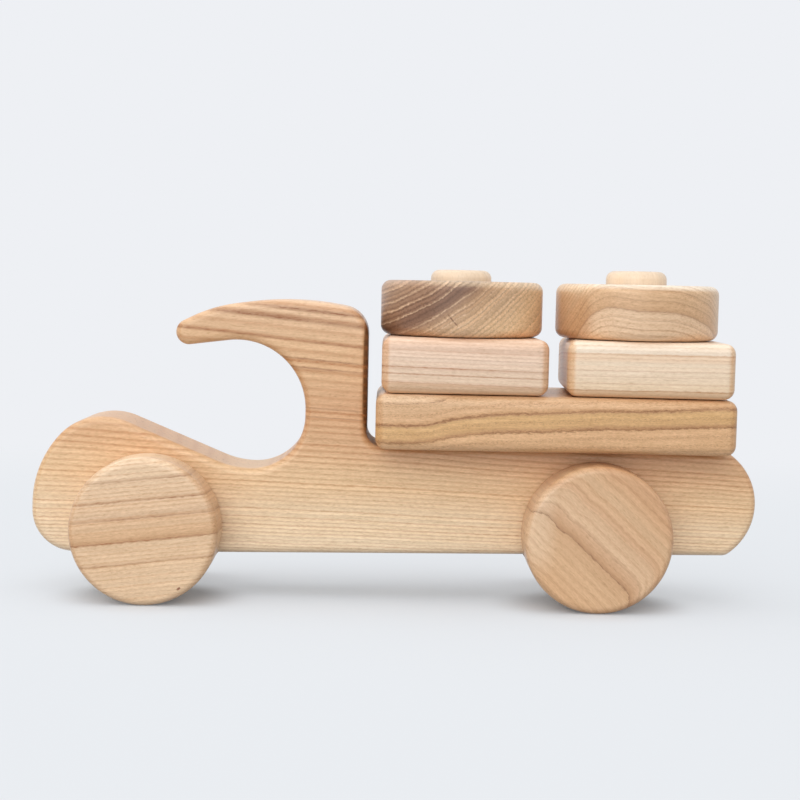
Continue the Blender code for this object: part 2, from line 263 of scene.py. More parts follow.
def make_peg(end):
    """A peg of birch dowel, rounded over at the top and eased at the foot."""
    length = PEG_TOP[end] - PEG_FOOT
    bpy.ops.mesh.primitive_cylinder_add(vertices=PEG_SIDES, radius=PEG_RADIUS, depth=length,
                                        location=(PEG_X[end], 0, PEG_FOOT + length / 2))
    bpy.ops.object.transform_apply(location=True)
    peg = start_piece(f"{end}_peg_wood")
    pick_edges(lambda edge: min(vert.co.z for vert in edge.verts) > PEG_TOP[end] - SAME_PLACE)
    round_over(PEG_TOP_ROUND, segments=PEG_TOP_SEGMENTS)
    pick_edges(lambda edge: max(vert.co.z for vert in edge.verts) < PEG_FOOT + SAME_PLACE)
    round_over(PEG_FOOT_EASE, segments=1)
    bpy.ops.object.mode_set(mode="OBJECT")
    return peg


def ease_holes(piece, holes, low, high):
    """Round over the rims of a piece's peg holes on its two faces."""
    bpy.context.view_layer.objects.active = piece
    bpy.ops.object.mode_set(mode="EDIT")

    def on_rim(edge):
        on_face = all(min(abs(vert.co.z - low), abs(vert.co.z - high)) < SAME_PLACE for vert in edge.verts)
        on_hole = any(all(abs(math.hypot(vert.co.x - x, vert.co.y) - HOLE_RADIUS) < ON_A_RIM
                          for vert in edge.verts) for x in holes)
        return on_face and on_hole

    pick_edges(on_rim)
    round_over(HOLE_ROUND, segments=HOLE_ROUND_SEGMENTS)
    bpy.ops.object.mode_set(mode="OBJECT")


def make_block(name, length, offset, seat, holes, turn=0.0):
    """A block, rounded over on every edge, with a hole at each X for its peg, and turned about the first."""
    centre_x = (holes[0] + holes[-1]) / 2 + offset
    bpy.ops.mesh.primitive_cube_add(size=1, location=(0, 0, 0))
    block = start_piece(name)
    bpy.ops.mesh.select_all(action="SELECT")
    bpy.ops.transform.resize(value=(length, BLOCK_DEPTH, LAYER))
    round_over(BLOCK_EDGE_ROUND)
    bpy.ops.mesh.select_all(action="SELECT")
    bpy.ops.transform.translate(value=(centre_x - holes[0], 0, 0))
    bpy.ops.object.mode_set(mode="OBJECT")
    block.rotation_euler.z = turn
    block.location = (holes[0], 0, seat + LAYER / 2)
    bpy.ops.object.transform_apply(location=True, rotation=True)
    for x in holes:
        bore(block, HOLE_RADIUS, (x, 0, seat - DRILL_PAST), (x, 0, seat + LAYER + DRILL_PAST))
    ease_holes(block, holes, seat, seat + LAYER)
    return block


def make_disc(end):
    """A disc with a hole for its peg."""
    x = PEG_X[end]
    bpy.ops.mesh.primitive_cylinder_add(vertices=TURNED_SIDES, radius=DISC_RADIUS, depth=LAYER,
                                        location=(x + DISC_OFFSET, 0, DISC_SEAT + LAYER / 2))
    bpy.ops.object.transform_apply(location=True)
    disc = start_piece(f"{end}_disc_wood")
    pick_rims("z")
    round_over(DISC_EDGE_ROUND)
    bpy.ops.object.mode_set(mode="OBJECT")
    bore(disc, HOLE_RADIUS, (x, 0, DISC_SEAT - DRILL_PAST), (x, 0, DISC_SEAT + LAYER + DRILL_PAST))
    ease_holes(disc, [x], DISC_SEAT, DISC_SEAT + LAYER)
    return disc


def linear(red, green, blue):
    """A colour from its screen values out of 255."""
    def one(value):
        value /= 255
        return value / 12.92 if value <= 0.04045 else ((value + 0.055) / 1.055) ** 2.4
    return one(red), one(green), one(blue)


def new_group(name, inputs, outputs):
    """An empty shader group; inputs are (name, kind, start value) and outputs (name, kind)."""
    group = bpy.data.node_groups.new(name, "ShaderNodeTree")
    for socket, kind, value in inputs:
        made = group.interface.new_socket(socket, in_out="INPUT", socket_type="NodeSocket" + kind)
        if value is not None:
            made.default_value = value
    for socket, kind in outputs:
        group.interface.new_socket(socket, in_out="OUTPUT", socket_type="NodeSocket" + kind)
    return group, group.nodes.new("NodeGroupInput").outputs, group.nodes.new("NodeGroupOutput").inputs


class Bench:
    """Places nodes in a tree and joins them up."""

    def __init__(self, tree):
        self.tree = tree

    def join(self, value, socket):
        if isinstance(value, bpy.types.NodeSocket):
            self.tree.links.new(value, socket)
        else:
            socket.default_value = value

    def math(self, operation, *values, clamp=False):
        node = self.tree.nodes.new("ShaderNodeMath")
        node.operation = operation
        node.use_clamp = clamp
        for value, socket in zip(values, node.inputs):
            self.join(value, socket)
        return node.outputs[0]

    def vector(self, operation, first, second=None):
        node = self.tree.nodes.new("ShaderNodeVectorMath")
        node.operation = operation
        self.join(first, node.inputs[0])
        if second is not None:
            self.join(second, node.inputs[1])
        return node.outputs["Value" if operation in ("LENGTH", "DOT_PRODUCT") else "Vector"]

    def axes(self, value):
        node = self.tree.nodes.new("ShaderNodeSeparateXYZ")
        self.join(value, node.inputs[0])
        return node.outputs

    def three(self, x, y, z):
        node = self.tree.nodes.new("ShaderNodeCombineXYZ")
        for value, socket in zip((x, y, z), node.inputs):
            self.join(value, socket)
        return node.outputs[0]

    def set_at(self, value, place, turn, size=(1, 1, 1)):
        """The same point, seen from a spot with its own place, turn and size."""
        node = self.tree.nodes.new("ShaderNodeMapping")
        node.vector_type = "TEXTURE"
        self.join(value, node.inputs["Vector"])
        for name, given in (("Location", place), ("Rotation", turn), ("Scale", size)):
            node.inputs[name].default_value = given
        return node.outputs["Vector"]

    def noise(self, place, scale, detail=2.0, roughness=0.5):
        node = self.tree.nodes.new("ShaderNodeTexNoise")
        self.join(place, node.inputs["Vector"])
        self.join(scale, node.inputs["Scale"])
        node.inputs["Detail"].default_value = detail
        node.inputs["Roughness"].default_value = roughness
        return node.outputs["Fac"]

    def grain(self, place, squeeze, scale, detail=2.0, roughness=0.5):
        """Noise of so many cells in a metre across the fibres, and fewer along them, by the squeeze."""
        return self.noise(self.vector("MULTIPLY", place, (squeeze, 1.0, 1.0)), scale, detail, roughness)

    def ramp(self, value, stops, easing="EASE"):
        """A colour ramp whose stops, (where, grey or colour), may lie anywhere on the value's own scale."""
        low, high = stops[0][0], stops[-1][0]
        if (low, high) != (0, 1):
            value = self.math("DIVIDE", self.math("SUBTRACT", value, low), high - low, clamp=True)
        node = self.tree.nodes.new("ShaderNodeValToRGB")
        node.color_ramp.interpolation = easing
        elements = node.color_ramp.elements
        while len(elements) > 1:
            elements.remove(elements[-1])
        for number, (place, tone) in enumerate(stops):
            place = (place - low) / (high - low)
            element = elements[0] if number == 0 else elements.new(place)
            element.position = place
            element.color = (tone, tone, tone, 1) if isinstance(tone, (int, float)) else (*tone, 1)
        self.join(value, node.inputs[0])
        return node.outputs["Color"]

    def blend(self, factor, first, second, kind="MIX"):
        node = self.tree.nodes.new("ShaderNodeMix")
        node.data_type = "RGBA"
        node.blend_type = kind
        for value, socket in ((factor, node.inputs[0]), (first, node.inputs[6]), (second, node.inputs[7])):
            self.join((*value, 1) if isinstance(value, tuple) and len(value) == 3 else value, socket)
        return node.outputs[2]

    def grey(self, value):
        node = self.tree.nodes.new("ShaderNodeCombineColor")
        for socket in node.inputs:
            self.join(value, socket)
        return node.outputs[0]

    def group(self, group, **values):
        node = self.tree.nodes.new("ShaderNodeGroup")
        node.node_tree = group
        for name, value in values.items():
            self.join(value, node.inputs[name.replace("_", " ").capitalize()])
        return node.outputs


# How dark a ring grows, from the pale early wood at its start to the late wood near its end
RING_PROFILE = ((0, 0.25), (0.12, 0.0), (0.48, 0.12), (0.78, 1.0), (0.90, 0.95), (1, 0.25))

# How much faster the rings sway across the grain than along it
SWAY_ACROSS = 2.5


def make_growth_rings():
    """Rings about a heart under the piece: how far out a point is, its late wood, and its ring's own tone."""
    group, given, result = new_group(
        "growth rings",
        [("Place", "Vector", None), ("Heart", "Float", 0.5), ("Lift", "Float", 0.0),
         ("Ring width", "Float", 0.003), ("Widening", "Float", 0.0), ("Taper", "Float", 0.0),
         ("Waviness", "Float", 0.001), ("Wave length", "Float", 0.08), ("Raggedness", "Float", 0.001)],
        [("Depth", "Float"), ("Late wood", "Float"), ("Ring tone", "Float")])
    bench = Bench(group)
    place = bench.axes(given["Place"])
    across = bench.three(0.0, place["Y"], bench.math("ADD", place["Z"], given["Heart"]))
    far = bench.math("SUBTRACT", bench.vector("LENGTH", across), given["Heart"])
    far = bench.math("SUBTRACT", far, given["Lift"])
    narrowing = bench.math("SUBTRACT", 1.0, bench.math("MULTIPLY", place["X"], given["Taper"]))
    tapered = bench.math("DIVIDE", far, narrowing)
    slow = bench.vector("MULTIPLY", given["Place"], (1.0, SWAY_ACROSS, SWAY_ACROSS))
    sway = bench.noise(slow, bench.math("DIVIDE", 1.0, given["Wave length"]), detail=1.5)
    swayed = bench.math("MULTIPLY_ADD", bench.math("SUBTRACT", sway, 0.5), given["Waviness"], tapered)
    ragged = bench.grain(given["Place"], squeeze=0.3, scale=1300.0, detail=2.5)
    depth = bench.math("MULTIPLY_ADD", bench.math("SUBTRACT", ragged, 0.5), given["Raggedness"], swayed)
    step = bench.math("MULTIPLY", given["Ring width"], bench.math(
        "ADD", 1.0, bench.math("MULTIPLY", depth, given["Widening"])))
    count = bench.math("DIVIDE", depth, step)
    ring = bench.ramp(bench.math("FRACT", count), RING_PROFILE)
    white = group.nodes.new("ShaderNodeTexWhiteNoise")
    white.noise_dimensions = "1D"
    bench.join(bench.math("FLOOR", count), white.inputs["W"])
    bench.join(depth, result["Depth"])
    bench.join(ring, result["Late wood"])
    bench.join(white.outputs["Value"], result["Ring tone"])
    return group


def make_fibres():
    """Fine fibres, short open pores, and slow clouds of colour along the grain."""
    group, given, result = new_group(
        "fibres and pores",
        [("Place", "Vector", None), ("Pore length", "Float", 0.003), ("Pore width", "Float", 0.0005)],
        [("Fibres", "Float"), ("Pores", "Float"), ("Clouds", "Float")])
    bench = Bench(group)
    place = given["Place"]
    threads = bench.grain(place, squeeze=0.05, scale=1000.0, detail=3.0, roughness=0.65)
    flecks = bench.grain(place, squeeze=0.3, scale=1800.0, roughness=0.6)
    fibres = bench.ramp(bench.math("ADD", threads, flecks), [(0.72, 0.0), (1.28, 1.0)], "LINEAR")
    size = bench.three(given["Pore length"], given["Pore width"], given["Pore width"])
    specks = bench.noise(bench.vector("DIVIDE", place, size), scale=1.0, roughness=0.6)
    pores = bench.ramp(specks, [(0.46, 0.0), (0.66, 1.0)])
    clouds = bench.grain(place, squeeze=0.35, scale=60.0)
    bench.join(fibres, result["Fibres"])
    bench.join(pores, result["Pores"])
    bench.join(clouds, result["Clouds"])
    return group


def make_end_grain():
    """How a surface cuts the grain: across the fibres, where oil soaks in, or flat along a ring."""
    group, given, result = new_group(
        "end grain", [("Fibre", "Vector", (1.0, 0.0, 0.0)), ("Outward", "Vector", (0.0, 0.0, 1.0))],
        [("Soak", "Float"), ("Flat", "Float")])
    bench = Bench(group)
    facing = group.nodes.new("ShaderNodeTexCoord").outputs["Normal"]
    along = bench.math("ABSOLUTE", bench.vector("DOT_PRODUCT", facing, given["Fibre"]))
    flat = bench.math("ABSOLUTE", bench.vector("DOT_PRODUCT", facing, given["Outward"]))
    bench.join(bench.ramp(flat, [(0.55, 0.0), (0.95, 1.0)]), result["Flat"])
    bench.join(bench.ramp(along, [(0.15, 0.0), (0.55, 1.0), (0.92, 0.9), (1.0, 0.5)]), result["Soak"])
    return group


GROWTH_RINGS = make_growth_rings()
FIBRES = make_fibres()
END_GRAIN = make_end_grain()


# A bold line's haze begins at this share of the line's strength
HAZE_START = 0.35

# The weakest ring's strength, and the share of a ring or line that shows by itself, by fibres and by pores
FAINTEST_RING = 0.25
LINE_BY_ITSELF = 0.45
LINE_BY_FIBRES = 0.6
LINE_BY_PORES = 0.3
LINE_LOST_WHERE_FLAT = 0.6
LINE_PATCHES = ((0.36, 0.55), (0.58, 1.0))

# A streak of fibres changes blue the most and red the least, which keeps the dark ones warm
STREAK_TINT = (0.8, 1.0, 1.3)
PORES_IN_EARLY_WOOD = 0.3
PORE_SHADE = 0.75

# How far the roughness varies with the fibres, and how high the fibres stand in metres
ROUGHNESS_SPREAD = 0.16
FIBRE_HEIGHT = 0.00003
FIBRE_RELIEF = 0.6


def line_stops(lines):
    """The ramp stops of rings that stand out: sharp on one side, and on the other a brown haze."""
    stops = []
    for depth, half, strength, haze in sorted(lines):
        side = [(depth - half, 0.0), (depth, strength), (depth + half, 0.0)]
        if haze > 0:
            side[2:] = [(depth + half, HAZE_START * strength), (depth + haze, 0.0)]
        elif haze < 0:
            side[:1] = [(depth + haze, 0.0), (depth - half, HAZE_START * strength)]
        stops += side
    return stops


def make_wood(name, tones, late, centre, fibre, outward,
              heart=0.5, ring_width=0.003, widening=0.0, taper=0.0, waviness=0.001, wave_length=0.08,
              raggedness=0.001, rings=((0, 0.6), (1, 0.6)), ring_shade=0.05, bend=(),
              lines=(), line_colour=(0.2, 0.1, 0.05), marks_and_painted_light=(), fibre_strength=0.12,
              pore_strength=0.25, pore_length=0.003, pore_width=0.0005, cloud=0.2,
              soak=0.35, soak_colour=(0.80, 0.64, 0.48), roughness=0.34):
    """A sanded and oiled solid wood that runs right through its piece.

    centre, fibre and outward set the grain's own axes, with X along the fibres and Z out from the heart. The
    heart lies at the given distance below the centre, and a point's depth is how far it lies outside the
    centre's ring. tones are the wood's (depth, colour) stops, late is the colour of its late wood and pores,
    and rings are the (depth, strength) stops of its late wood. bend is how the rings rise along X: (x, rise).

    lines are (depth, half width, strength, haze) rings that stand out. marks_and_painted_light are (place,
    size, turn about Y, colour, strength, core) patches, whose full colour fills the core of their size; some
    are the wood's own spots and streaks, and some are painted shade or painted highlights. soak and
    soak_colour are how far, and to which colour, oil darkens the end grain.
    """
    fibre, outward = Vector(fibre).normalized(), Vector(outward)
    outward = (outward - outward.project(fibre)).normalized()
    turn = Matrix((fibre, outward.cross(fibre), outward)).transposed().to_euler()

    material = bpy.data.materials.new(name)
    material.use_nodes = True
    tree = material.node_tree
    bench = Bench(tree)
    shader = tree.nodes["Principled BSDF"]
    surface = tree.nodes.new("ShaderNodeTexCoord").outputs["Object"]
    place = bench.set_at(surface, centre, turn)

    lift = 0.0
    if bend:
        least = min(rise for _, rise in bend)
        lift = bench.ramp(bench.axes(place)["X"], [(x, rise - least) for x, rise in bend], "CARDINAL")
        lift = bench.math("ADD", lift, least)
    ring = bench.group(GROWTH_RINGS, place=place, heart=heart, lift=lift, ring_width=ring_width,
                       widening=widening, taper=taper, waviness=waviness, wave_length=wave_length,
                       raggedness=raggedness)
    thread = bench.group(FIBRES, place=place, pore_length=pore_length, pore_width=pore_width)
    cut = bench.group(END_GRAIN, fibre=fibre, outward=outward)

    colour = bench.ramp(ring["Depth"], tones) if len(tones) > 1 else tones[0][1]
    colour = bench.blend(bench.math("MULTIPLY", thread["Clouds"], cloud), colour, late)
    # Each patch is the wood's own spot or streak, or else painted shade or a painted highlight over its colour
    for spot, size, angle, shade, strength, core in marks_and_painted_light:
        near = bench.set_at(surface, spot, (0, math.radians(angle), 0), size)
        near = bench.vector("LENGTH", bench.vector("MULTIPLY", near, near))
        cover = bench.math("MULTIPLY", bench.ramp(near, [(core, 1.0), (1.0, 0.0)]), strength)
        colour = bench.blend(cover, colour, shade)
    own = bench.math("MULTIPLY_ADD", ring["Ring tone"], 2 * ring_shade, 1 - ring_shade)
    colour = bench.blend(1.0, colour, bench.grey(own), "MULTIPLY")

    strength = bench.math("MULTIPLY", bench.ramp(ring["Depth"], rings, "LINEAR"), bench.math(
        "MULTIPLY_ADD", ring["Ring tone"], 1 - FAINTEST_RING, FAINTEST_RING))
    broken = bench.math("MULTIPLY_ADD", thread["Fibres"], LINE_BY_FIBRES, bench.math(
        "MULTIPLY_ADD", thread["Pores"], LINE_BY_PORES, LINE_BY_ITSELF))
    broken = bench.math("MULTIPLY", broken, bench.math(
        "MULTIPLY_ADD", cut["Flat"], -LINE_LOST_WHERE_FLAT, 1.0))
    shown = bench.math("MULTIPLY", bench.math("MULTIPLY", ring["Late wood"], strength), broken)
    colour = bench.blend(shown, colour, late)
    if lines:
        patchy = bench.ramp(thread["Clouds"], LINE_PATCHES)
        bold = bench.math("MULTIPLY", bench.ramp(ring["Depth"], line_stops(lines), "LINEAR"),
                          bench.math("MULTIPLY", patchy, broken))
        colour = bench.blend(bold, colour, line_colour)

    dark, light = (tuple(1 + side * fibre_strength * part for part in STREAK_TINT) for side in (-1, 1))
    colour = bench.blend(1.0, colour, bench.blend(thread["Fibres"], dark, light), "MULTIPLY")
    where = bench.math("MULTIPLY_ADD", ring["Late wood"], 1 - PORES_IN_EARLY_WOOD, PORES_IN_EARLY_WOOD)
    pored = bench.math("MULTIPLY", thread["Pores"], bench.math("MULTIPLY", where, pore_strength))
    colour = bench.blend(pored, colour, tuple(PORE_SHADE * part for part in late))
    soaked = bench.blend(1.0, colour, soak_colour, "MULTIPLY")
    colour = bench.blend(bench.math("MULTIPLY", cut["Soak"], soak), colour, soaked)
    bench.join(colour, shader.inputs["Base Color"])

    sheen = bench.math("MULTIPLY_ADD", thread["Fibres"], ROUGHNESS_SPREAD, roughness - ROUGHNESS_SPREAD / 2)
    bench.join(sheen, shader.inputs["Roughness"])
    shader.inputs["Metallic"].default_value = 0
    bump = tree.nodes.new("ShaderNodeBump")
    bump.inputs["Distance"].default_value = FIBRE_HEIGHT
    bump.inputs["Strength"].default_value = FIBRE_RELIEF
    bench.join(bench.math("SUBTRACT", thread["Fibres"], pored), bump.inputs["Height"])
    bench.join(bump.outputs["Normal"], shader.inputs["Normal"])
    return material


ALONG, ACROSS, UP = (1, 0, 0), (0, 1, 0), (0, 0, 1)


def tilted(degrees):
    """The direction that rises by so many degrees towards the tail, seen from the near side."""
    angle = math.radians(degrees)
    return math.cos(angle), 0, math.sin(angle)


body_ash = make_wood(
    "sanded body ash",
    tones=((0.005, linear(252, 229, 196)), (0.022, linear(250, 222, 184)), (0.038, linear(243, 207, 163)),
           (0.052, linear(229, 186, 143)), (0.066, linear(226, 180, 137)), (0.085, linear(232, 190, 146)),
           (0.115, linear(238, 200, 164))),
    late=linear(184, 122, 72),
    centre=(0.0, 0.0, 0.010), fibre=ALONG, outward=UP, heart=0.9,
    ring_width=0.0010, widening=11.0, taper=1.05, waviness=0.003, wave_length=0.10, raggedness=0.0007,
    rings=((0.0, 0.50), (0.035, 0.65), (0.055, 0.90), (0.12, 0.95)), ring_shade=0.06,
    lines=((0.0626, 0.0005, 0.7, 0.0), (0.0662, 0.0005, 0.6, 0.0), (0.0821, 0.0006, 0.9, -0.0014),
           (0.0854, 0.0005, 0.8, 0.0), (0.0920, 0.0007, 0.7, 0.0020), (0.0999, 0.0012, 1.0, 0.0030),
           (0.1040, 0.0009, 1.0, -0.0020)),
    line_colour=linear(146, 90, 50),
    pore_strength=0.12, fibre_strength=0.15, cloud=0.10,
    # The mark is painted shade: the cab's back made dark brown where the load's blocks close behind it shade
    # it
    marks_and_painted_light=(((-0.0102, 0.0, 0.0925), (0.0041, 0.050, 0.0280), 0, linear(106, 68, 34), 0.95, 0.6),))

front_wheel_ash = make_wood(
    "front wheel ash",
    tones=((-0.03, linear(241, 210, 174)), (-0.0038, linear(238, 205, 168)), (-0.0026, linear(227, 186, 144)),
           (0.0050, linear(232, 196, 158)), (0.0060, linear(236, 202, 166)), (0.030, linear(243, 214, 180))),
    late=linear(200, 146, 96),
    centre=(AXLE_X["front"], -WHEEL_OUTER_Y, WHEEL_RADIUS), fibre=tilted(6.5), outward=UP, heart=0.4,
    ring_width=0.0017, waviness=0.0014, wave_length=0.05, raggedness=0.0011,
    rings=((-0.03, 0.4), (0.03, 0.5)),
    lines=((-0.0119, 0.0005, 0.7, 0.0016), (-0.0032, 0.0005, 1.0, 0.0024), (0.0057, 0.0006, 1.0, 0.0022),
           (0.0128, 0.0005, 0.85, 0.0016), (0.0209, 0.0005, 0.85, 0.0014)),
    line_colour=linear(158, 98, 54),
    fibre_strength=0.15, pore_strength=0.25,
    marks_and_painted_light=(((-0.0848, -0.0376, 0.0074), (0.0010, 0.003, 0.00055), -35, linear(132, 72, 48), 0.9, 0.2),))

front_wheel_far_ash = make_wood(
    "far front wheel ash",
    tones=((-0.03, linear(234, 200, 158)), (0.03, linear(238, 206, 168))),
    late=linear(190, 142, 98),
    centre=(AXLE_X["front"], WHEEL_OUTER_Y, WHEEL_RADIUS), fibre=tilted(-25), outward=UP, heart=0.3,
    ring_width=0.0046, waviness=0.002, wave_length=0.05, raggedness=0.002, fibre_strength=0.16)

rear_wheel_ash = make_wood(
    "rear wheel ash",
    tones=((-0.030, linear(228, 185, 142)), (-0.014, linear(230, 190, 148)), (-0.0068, linear(226, 184, 142)),
           (-0.0060, linear(216, 171, 130)), (-0.0030, linear(226, 184, 145)),
           (0.0010, linear(234, 198, 160)), (0.0060, linear(232, 194, 155)), (0.0080, linear(224, 183, 144)),
           (0.0150, linear(230, 191, 150)), (0.0250, linear(216, 171, 130))),
    late=linear(178, 126, 84),
    centre=(AXLE_X["rear"], -WHEEL_OUTER_Y, WHEEL_RADIUS), fibre=tilted(-45), outward=UP, heart=0.25,
    ring_width=0.0034, waviness=0.0016, wave_length=0.05, raggedness=0.0016,
    rings=((-0.03, 0.35), (0.03, 0.45)),
    bend=((-0.0310, -0.0100), (-0.0282, -0.0062), (-0.0262, -0.0035), (-0.0233, -0.0015),
          (-0.0185, -0.0009), (-0.0145, -0.0013), (-0.0102, -0.0003), (-0.0042, 0.0), (0.0100, 0.0003),
          (0.0215, 0.0006), (0.0240, -0.0002), (0.0260, -0.0022), (0.0300, -0.0070)),
    lines=((-0.0066, 0.0004, 0.85, 0.0018), (-0.0012, 0.0003, 0.25, 0.0014), (0.0074, 0.0003, 0.3, 0.0020)),
    line_colour=linear(134, 84, 50),
    fibre_strength=0.12, pore_strength=0.16, pore_width=0.0004,
    # The mark is a painted highlight: the wheel's left rim made paler, where the light from the left falls on
    # it
    marks_and_painted_light=(((0.0540, -0.035, 0.036), (0.0115, 0.02, 0.023), 0, linear(248, 218, 184), 0.50, 0.02),))

rear_wheel_far_ash = make_wood(
    "far rear wheel ash",
    tones=((-0.03, linear(224, 184, 142)), (0.03, linear(216, 174, 132))),
    late=linear(178, 128, 88),
    centre=(AXLE_X["rear"], WHEEL_OUTER_Y, WHEEL_RADIUS), fibre=tilted(12), outward=UP, heart=0.3,
    ring_width=0.0048, waviness=0.003, wave_length=0.05, raggedness=0.002, fibre_strength=0.16)

birch_dowel = make_wood(
    "birch dowel",
    tones=((0, linear(242, 219, 192)),),
    late=linear(224, 190, 152),
    centre=(0.0, 0.0, 0.0), fibre=UP, outward=ACROSS, heart=0.06,
    ring_width=0.0022, rings=((-1, 0.35), (1, 0.35)),
    soak=0.10, pore_strength=0.08, fibre_strength=0.06, cloud=0.1)

axle_dowel = make_wood(
    "axle dowel",
    tones=((0, linear(238, 208, 170)),),
    late=linear(216, 180, 138),
    centre=(0.0, 0.0, 0.0), fibre=ACROSS, outward=UP, heart=0.06,
    ring_width=0.002, rings=((-1, 0.35), (1, 0.35)))

golden_elm = make_wood(
    "golden long block",
    tones=((-0.012, linear(231, 186, 138)), (0.0018, linear(233, 188, 142)), (0.0032, linear(216, 168, 120)),
           (0.0052, linear(227, 182, 127)), (0.0088, linear(227, 184, 129)), (0.0098, linear(214, 166, 120)),
           (0.0130, linear(233, 190, 146)), (0.0178, linear(236, 194, 150)), (0.0225, linear(252, 222, 186))),
    late=linear(168, 116, 70),
    centre=(0.0, -BLOCK_DEPTH / 2, LONG_SEAT), fibre=ALONG, outward=UP, heart=0.20,
    ring_width=0.0036, waviness=0.0012, wave_length=0.03, raggedness=0.0022,
    rings=((-0.01, 0.3), (0.02, 0.35)),
    bend=((-0.010, 0.0), (0.004, 0.0), (0.009, 0.0003), (0.0145, 0.0011), (0.0205, 0.0026),
          (0.0265, 0.0036), (0.034, 0.0045), (0.044, 0.0053), (0.063, 0.0061), (0.080, 0.0071),
          (0.100, 0.0077), (0.132, 0.0091)),
    lines=((-0.0066, 0.0004, 0.5, 0.0014), (0.0028, 0.0005, 0.85, 0.0022), (0.0100, 0.0005, 0.9, -0.0020),
           (0.0184, 0.0004, 0.8, 0.0016)),
    line_colour=linear(126, 80, 42),
    pore_strength=0.42, pore_length=0.0009, pore_width=0.00035, fibre_strength=0.17)

pink_beige = make_wood(
    "pink beige square block",
    tones=((-0.012, linear(226, 190, 152)), (-0.0074, linear(234, 200, 166)),
           (-0.0066, linear(241, 214, 186)), (0.0040, linear(244, 216, 192)), (0.0070, linear(240, 206, 180)),
           (0.012, linear(244, 210, 182))),
    late=linear(204, 156, 118),
    centre=(0.0269, -0.0332, 0.0972), fibre=tilted(-1.4), outward=UP, heart=0.6,
    ring_width=0.0015, waviness=0.0010, wave_length=0.05, raggedness=0.0007,
    rings=((-0.02, 0.45), (0.02, 0.45)),
    lines=((-0.0069, 0.0004, 0.65, -0.0012), (-0.0036, 0.0004, 0.85, 0.0), (-0.0009, 0.0004, 0.95, -0.0010),
           (0.0028, 0.0003, 0.35, 0.0), (0.0056, 0.0003, 0.30, 0.0012)),
    line_colour=linear(178, 118, 78),
    fibre_strength=0.13, pore_strength=0.12, soak=0.7, soak_colour=(0.86, 0.66, 0.46))

cream_ash = make_wood(
    "cream square block",
    tones=((-0.012, linear(232, 194, 154)), (-0.0086, linear(238, 204, 166)),
           (-0.0076, linear(245, 220, 188)), (0.0, linear(249, 227, 200)), (0.0034, linear(249, 227, 200)),
           (0.0040, linear(244, 217, 188)), (0.0060, linear(244, 217, 188)), (0.0068, linear(252, 233, 210)),
           (0.012, linear(252, 233, 210))),
    late=linear(206, 158, 112),
    centre=(0.1023, -0.0332, 0.0972), fibre=ALONG, outward=UP, heart=0.6,
    ring_width=0.0016, waviness=0.0010, wave_length=0.06, raggedness=0.0007,
    rings=((-0.02, 0.35), (0.02, 0.35)),
    lines=((-0.0080, 0.0004, 0.85, 0.0), (-0.0053, 0.0003, 0.35, 0.0), (-0.0025, 0.0003, 0.35, 0.0),
           (-0.0003, 0.0003, 0.40, 0.0014), (0.0033, 0.0003, 0.45, 0.0014), (0.0061, 0.0004, 0.60, -0.0010)),
    line_colour=linear(188, 130, 84),
    fibre_strength=0.11, pore_strength=0.12, soak=0.7, soak_colour=(0.86, 0.66, 0.46))

brown_heartwood = make_wood(
    "brown heartwood disc",
    tones=((-0.024, linear(208, 170, 138)), (-0.0185, linear(186, 146, 114)),
           (-0.0150, linear(172, 132, 102)), (-0.0110, linear(156, 116, 88)), (-0.0070, linear(132, 95, 72)),
           (-0.0045, linear(160, 120, 92)), (-0.0015, linear(204, 162, 124)), (0.006, linear(230, 189, 147)),
           (0.018, linear(243, 204, 158)), (0.03, linear(236, 196, 150))),
    late=linear(92, 58, 38),
    centre=(0.0263, -0.0334, 0.1198), fibre=ACROSS, outward=(0.60, 0, -0.80), heart=0.11,
    ring_width=0.0017, waviness=0.0022, wave_length=0.03, raggedness=0.0014, ring_shade=0.12,
    rings=((-0.03, 0.85), (-0.004, 0.85), (0.0, 0.70), (0.009, 0.50), (0.016, 0.20), (0.03, 0.12)),
    lines=((-0.0212, 0.0005, 0.85, 0.0), (-0.0164, 0.0005, 0.85, 0.0), (-0.0130, 0.0005, 0.85, 0.0),
           (-0.0094, 0.0004, 0.8, 0.0), (-0.0040, 0.0005, 0.8, 0.0), (-0.0008, 0.0005, 0.85, 0.0),
           (0.0015, 0.0004, 0.8, 0.0), (0.0045, 0.0005, 0.8, 0.0), (0.0066, 0.0004, 0.7, 0.0),
           (0.0092, 0.0005, 0.6, 0.0)),
    line_colour=linear(240, 202, 164),
    fibre_strength=0.19, soak=0.0,
    marks_and_painted_light=(((0.0212, -0.033, 0.1155), (0.0036, 0.006, 0.00030), 49, linear(116, 74, 46), 0.9, 0.2),
           # This mark is a painted highlight: a pale band along the disc's top round, where the overhead light
           # falls
           ((0.034, 0.0, 0.1315), (0.030, 0.05, 0.0036), 0, linear(246, 218, 182), 0.55, 0.3)))

